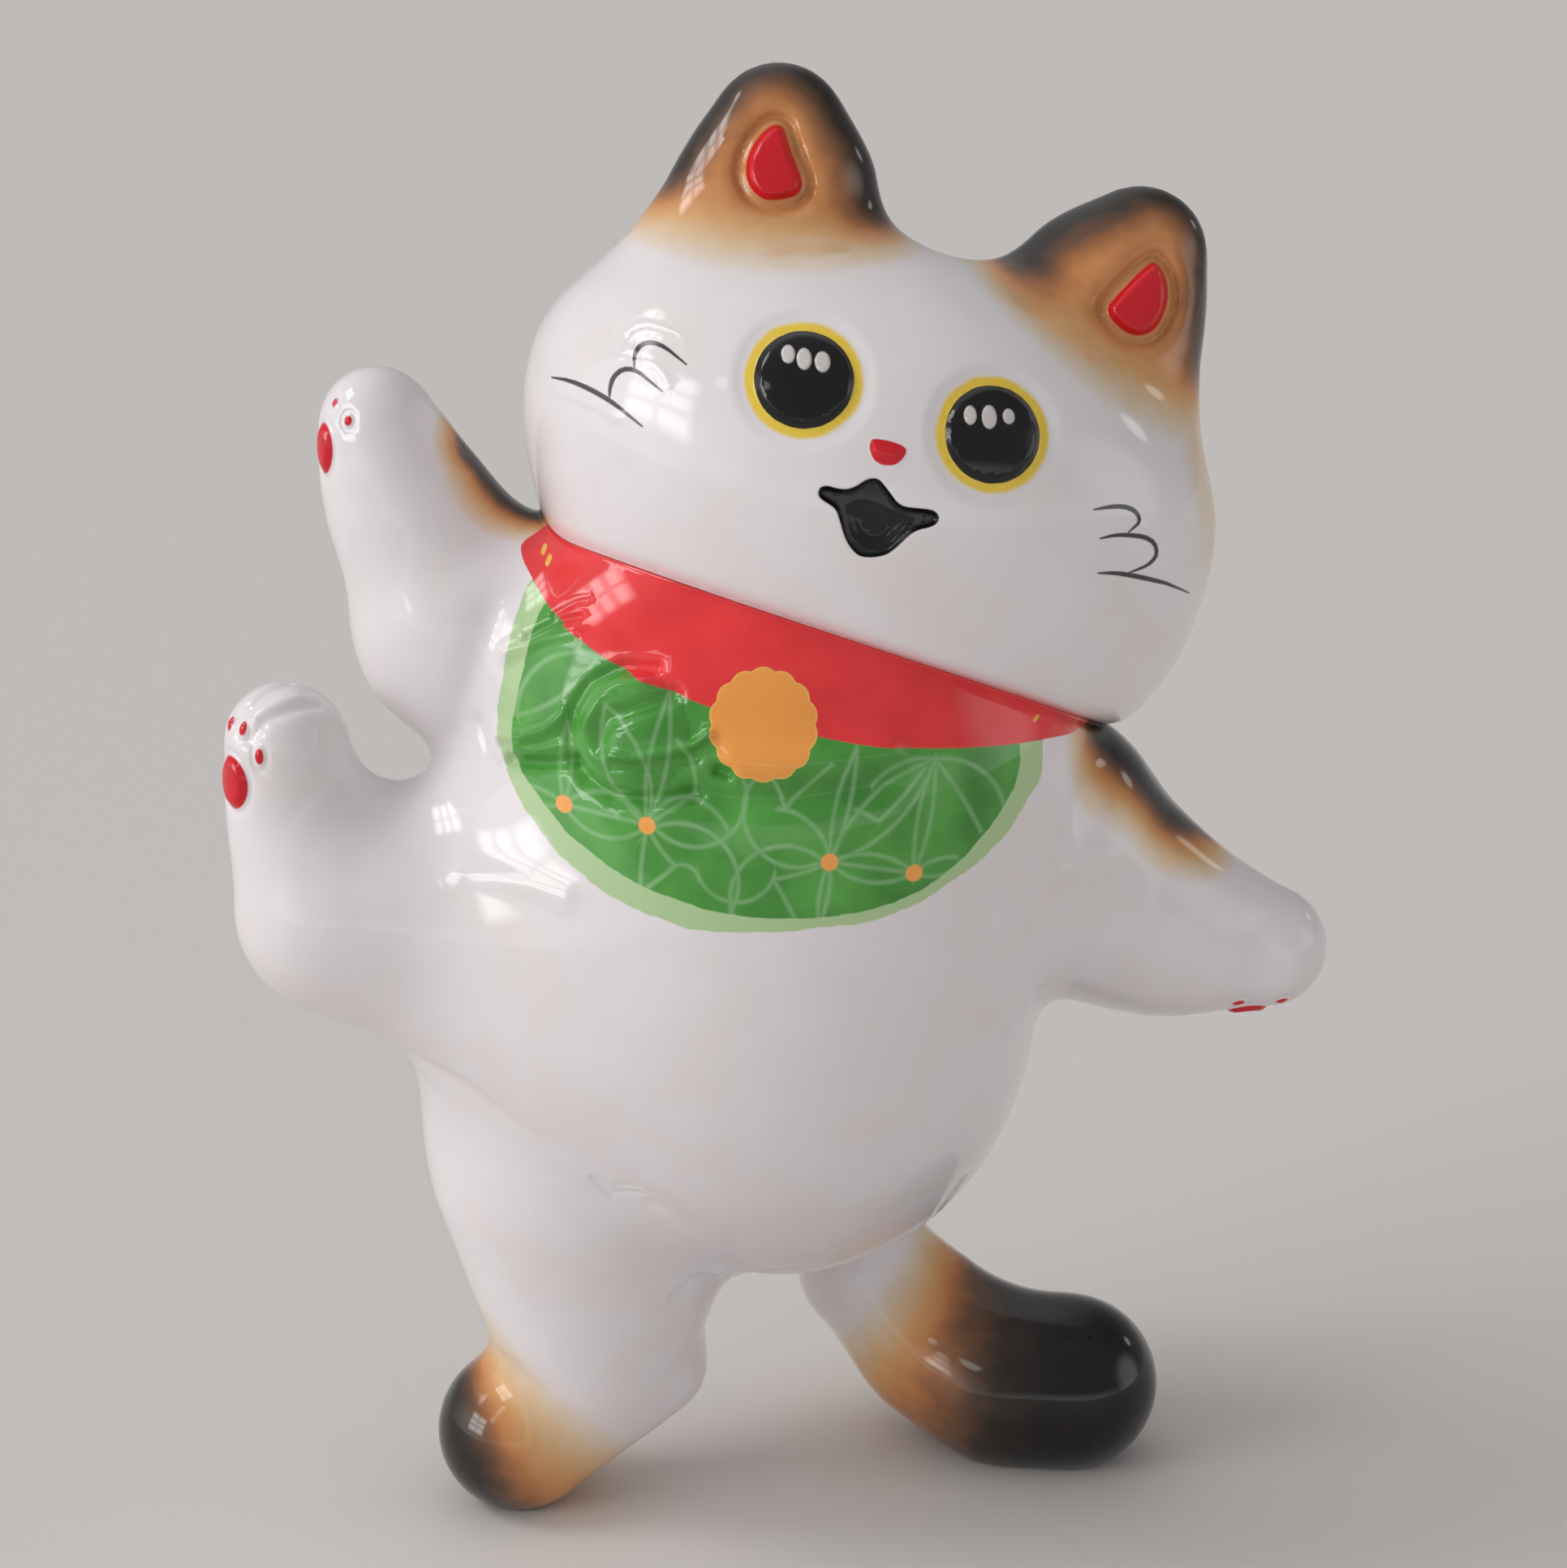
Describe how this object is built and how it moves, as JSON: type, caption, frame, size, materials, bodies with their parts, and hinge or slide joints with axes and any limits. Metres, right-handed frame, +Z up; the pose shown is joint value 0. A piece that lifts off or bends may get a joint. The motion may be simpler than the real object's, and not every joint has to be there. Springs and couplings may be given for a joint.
{
  "type": "lucky cat figurine",
  "caption": "Glazed ceramic lucky cat figurine, dancing on one foot and its tail with a paw raised, for a shelf or counter.",
  "frame": {"origin": "on the floor, under the middle of the figure's box", "axes": "+Z up, the cat faces -Y, and +X is towards its lowered left paw"},
  "size_m": [0.1337, 0.073, 0.18],
  "materials": {
    "glaze": "clear gloss over white slip"
  },
  "bodies": {
    "root": {"lucky_cat": "glaze"}
  },
  "joints": []
}
